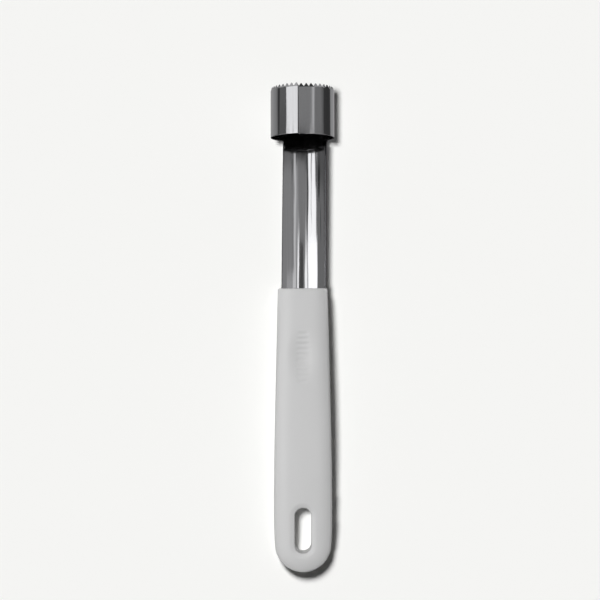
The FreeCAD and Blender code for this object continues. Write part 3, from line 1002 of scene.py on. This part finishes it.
# %% A card's glow and its fading edges
CARD_END = 0.5  # a plane of size 1 ends half a unit from its middle
HARD_EDGE = 0.001


def fading(tree, place, axis, fade):
    """From 1 in a card's middle to 0 at its two ends on one axis."""
    off_middle = add_node(tree, "Math", None, {0: place.outputs[axis]}, operation="ABSOLUTE")
    return add_node(
        tree, "MapRange",
        {
            "From Min": CARD_END * (1 - fade), "From Max": CARD_END,
            "To Min": 1.0, "To Max": 0.0,
        },
        {"Value": off_middle.outputs[0]},
    ).outputs[0]


def dress_card(card, name, glow, fade, fade_along=HARD_EDGE):
    """Give a card an even glow that fades out over a share of its half width and length."""
    card.name = name
    material, tree = new_material(name)
    space = add_node(tree, "TexCoord")
    place = add_node(tree, "SeparateXYZ", None, {"Vector": space.outputs["Object"]})
    cover = add_node(
        tree, "Math", None,
        {0: fading(tree, place, "X", fade), 1: fading(tree, place, "Y", fade_along)},
        operation="MULTIPLY",
    )
    light = add_node(tree, "Emission", {"Color": WHITE, "Strength": glow})
    clear = add_node(tree, "BsdfTransparent")
    finish_with(tree, add_node(
        tree, "MixShader", None, {0: cover.outputs[0], 1: clear.outputs[0], 2: light.outputs[0]}
    ))
    card.data.materials.append(material)
    hide_from_light(card, glossy=True)


# %% [markdown]
# Most cards stand round the tool like staves, each at its own angle and over its own stretch
# of the tool. The key ones make the white bands, the strips the narrow lines beside them, and
# the walls and the ceiling the greys. A nearer card hides a farther one, so a dark gap or blot
# is a card too.

# %% Cards round the tool


def add_card(name, angle, width, low, high, distance, glow, *fades):
    """A card facing the tool: its angle and width in degrees seen from above the tool,
    its two ends along the tool in metres, its distance in metres and its brightness."""
    place = direction_to(angle, 0) * distance
    place.y = (low + high) / 2
    clear_selection()
    bpy.ops.mesh.primitive_plane_add(
        size=1, rotation=(0, math.radians(angle), 0), location=place
    )
    card = bpy.context.object
    card.scale = (2 * distance * math.tan(math.radians(width) / 2), high - low, 1)
    dress_card(card, name, glow, *fades)


BACK = -0.9  # metres along the tool, as for each low and high below
RING_LINE = 0.228
CARDS = [
    # name, angle, width, low, high, distance, glow, fades
    ("key_near", -38.4, 39.8, BACK, 0.10, 1.0, 1.80, 0.12),
    ("key_middle", -37.2, 31.6, 0.10, 0.165, 1.0, 1.55, 0.12),
    ("key_middle_far", -35.8, 28.6, 0.165, RING_LINE, 1.0, 1.50, 0.12),
    ("key_far", -38.5, 42, RING_LINE, 0.45, 1.0, 1.22, 0.06),
    ("key_top", -38, 42, 0.6, 1.4, 1.0, 0.6, 0.2),
    ("key_gap", -34.0, 4.0, 0.12, 0.17, 0.97, 0.80, 0.6),
    ("key_gap_end", -34.0, 4.6, 0.17, RING_LINE, 0.97, 0.34, 0.5),
    ("key_inner", -13, 10.5, BACK, 0.125, 1.0, 1.50, 0.35, 0.12),
    ("strip_near", 29.5, 12, BACK, RING_LINE, 1.0, 0.80, 0.8),
    ("strip_halo", 23.0, 18, BACK, RING_LINE, 1.02, 0.42, 0.8),
    ("strip_mouth", 32.0, 17, BACK, 0.052, 0.99, 0.84, 0.3),
    ("wall_mouth", 52.0, 30, BACK, 0.048, 1.0, 0.52, 0.4),
    ("strip_far", 38.0, 16, RING_LINE, 0.5, 1.0, 0.66, 0.9),
    ("strip_inner", 15.5, 8, BACK, 0.125, 1.0, 1.60, 0.4, 0.1),
    ("camera_body", 5, 17, -0.2, 0.07, 0.54, 0.10, 0.1),
    # painted shade: a near-black band that darkens the trough's mirror by the neck, as the
    # ring's shaded inside does
    ("ceiling_painted_shade", 9.2, 65.8, 0.200, 0.229, 0.96, 0.01, 0.04, 0.3),
    ("ceiling", 15, 67, BACK, 0.6, 1.1, 0.30, 0.04),
    ("ceiling_end", 14, 90, 0.6, 1.6, 1.15, 0.06, 0.1),
    # painted shade: a dim band that darkens the trough's mirror by the neck, as the ring's
    # shaded inside does
    ("right_wall_painted_shade", 58, 40, 0.215, 0.245, 1.10, 0.12, 0.3, 0.6),
    ("right_wall_near", 60, 60, BACK, RING_LINE, 1.19, 0.33, 0.1),
    ("right_wall_far", 57.5, 59, RING_LINE, 0.6, 1.2, 0.25, 0.7),
    ("left_blot", -65, 11, 0.155, 0.215, 1.08, 0.01, 0.5, 0.5),
    ("left_blot_near", -74, 5, 0.10, 0.15, 1.08, 0.06, 0.9, 0.6),
    ("left_wall_middle", -68, 47, 0.18, 0.30, 1.15, 0.13, 0.1, 0.3),
    ("left_wall_near", -68, 47, BACK, RING_LINE, 1.19, 0.22, 0.1),
    ("left_wall_far", -75, 34, RING_LINE, 0.6, 1.2, 0.16, 0.3),
    ("right_skirting", 88, 40, BACK, 0.6, 1.3, 0.055, 0.1),
    ("left_skirting", -88, 21, BACK, 0.6, 1.3, 0.04, 0.1),
    ("left_wall_back", -74, 56, BACK, -0.02, 0.95, 0.50, 0.1, 0.1),
    ("right_wall_back", 72, 56, BACK, -0.02, 0.95, 0.50, 0.1, 0.1),
    ("left_wall_beyond", -72, 60, 0.6, 1.5, 1.0, 0.45, 0.1, 0.1),
    ("right_wall_beyond", 72, 60, 0.6, 1.5, 1.0, 0.45, 0.1, 0.1),
]
for card in CARDS:
    add_card(*card)
print(len(CARDS), "cards round the tool")

# %% [markdown]
# The blade's underside and flanks mirror the table: bright round the tool, dark in its shadow.
# Two walls across the tool's line keep the steel from going black where it is seen from its
# ends.

# %% Table cards and end walls
WALL_WIDTH = 2.4
WALL_FADE = 0.3


def add_table_card(name, left, right, low, high, depth, glow, fade):
    """The lit or shaded table as the steel sees it, its ends across and along in metres."""
    clear_selection()
    bpy.ops.mesh.primitive_plane_add(
        size=1, location=((left + right) / 2, (low + high) / 2, -depth)
    )
    card = bpy.context.object
    card.scale = (right - left, high - low, 1)
    dress_card(card, name, glow, fade)


def add_end_wall(name, place, low, high, glow):
    """A wall across the tool's line, its place, its foot and its top in metres."""
    clear_selection()
    bpy.ops.mesh.primitive_plane_add(
        size=1, rotation=(math.pi / 2, 0, 0), location=(0, place, (low + high) / 2)
    )
    card = bpy.context.object
    card.scale = (WALL_WIDTH, high - low, 1)
    dress_card(card, name, glow, WALL_FADE, WALL_FADE)


END_WALLS = [
    # name, place, low, high, glow
    ("end_wall_far", 1.2, 0.03, 0.85, 0.5),
    ("end_wall_near", -1.2, 0.03, 0.95, 0.45),
]
TABLE_CARDS = [
    # name, left, right, low, high, depth, glow, fade
    ("table_glow", -0.24, 0.24, -0.6, 0.6, 2 * MM, 0.45, 1.0),
    ("table_shade", 0.05, 0.5, -0.6, 0.6, MM, 0.05, 0.05),
    ("table_shade_left", -0.5, -0.05, -0.02, 0.095, MM, 0.05, 0.05),
    ("table_back", -0.9, 0.9, -0.9, -0.03, 0.5 * MM, 0.55, 0.05),
    ("table_beyond", -0.9, 0.9, 0.30, 1.2, 0.5 * MM, 0.55, 0.05),
]
for wall in END_WALLS:
    add_end_wall(*wall)
for card in TABLE_CARDS:
    add_table_card(*card)
print(len(END_WALLS), "end walls and", len(TABLE_CARDS), "table cards")

# %% [markdown]
# Where the trough meets the ring, the steel mirrors the ring's dark inside. Three black
# tubes, open below, make that place as dark and as long as in the photo: a lining under the
# ring's roof, a short collar behind its rear rim, and cheeks that keep the rim's bright cut
# face out of the trough's walls. The lining ends just under the ring's axis, so that light
# still comes in from the front. The collar and the cheeks reach down to the trough's edges.

# %% Painted shade: lining, collar and cheeks
BLACK = 0.0
SHADE_LINING_GAP = 0.15
SHADE_LINING_LENGTH = 9.0
SHADE_LINING_FOOT = -3.0
SHADE_COLLAR_GAP = 0.1
SHADE_COLLAR_LENGTH = 1.6
SHADE_COLLAR_FOOT = -9.6
SHADE_CHEEK_TOP = 4.0

inner_radius = RING_RADIUS - SHEET - SHADE_LINING_GAP
outer_radius = RING_RADIUS + SHADE_COLLAR_GAP
shade_lining_place = RIM_PLACE + SHADE_LINING_LENGTH
shade_collar_place = RIM_PLACE - SHADE_COLLAR_LENGTH
# Painted shade: these black tubes stand in for the ring's shaded inside as the trough mirrors
# it, and they show in reflections alone.
DARK_TUBES = [
    # name, radius, two ends along the tool, foot and top measured from the ring's axis
    ("painted_shade_lining", inner_radius, RIM_PLACE, shade_lining_place, SHADE_LINING_FOOT, inner_radius),
    ("painted_shade_collar", outer_radius, shade_collar_place, RIM_PLACE, SHADE_COLLAR_FOOT, outer_radius),
    ("painted_shade_cheeks", inner_radius, shade_collar_place, RIM_PLACE, SHADE_COLLAR_FOOT, SHADE_CHEEK_TOP),
]


def add_dark_tube(name, radius, low, high, foot, top):
    """A black tube round the ring's axis, between two places along it. Its foot and its top
    are heights measured from the axis, and it is open beyond them."""
    clear_selection()
    bpy.ops.mesh.primitive_cylinder_add(
        vertices=96, radius=radius * MM, depth=(high - low) * MM, end_fill_type="NOTHING",
        rotation=(math.pi / 2, 0, 0), location=Vector((0, (low + high) / 2, axis_height)) * MM,
    )
    bpy.ops.object.mode_set(mode="EDIT")
    pick("FACE", lambda face: middle(face).y < foot or middle(face).y > top)
    bpy.ops.mesh.delete(type="FACE")
    bpy.ops.object.mode_set(mode="OBJECT")
    dress_card(bpy.context.object, name, BLACK, HARD_EDGE)


for tube in DARK_TUBES:
    add_dark_tube(*tube)
print(len(DARK_TUBES), "black tubes at the ring")
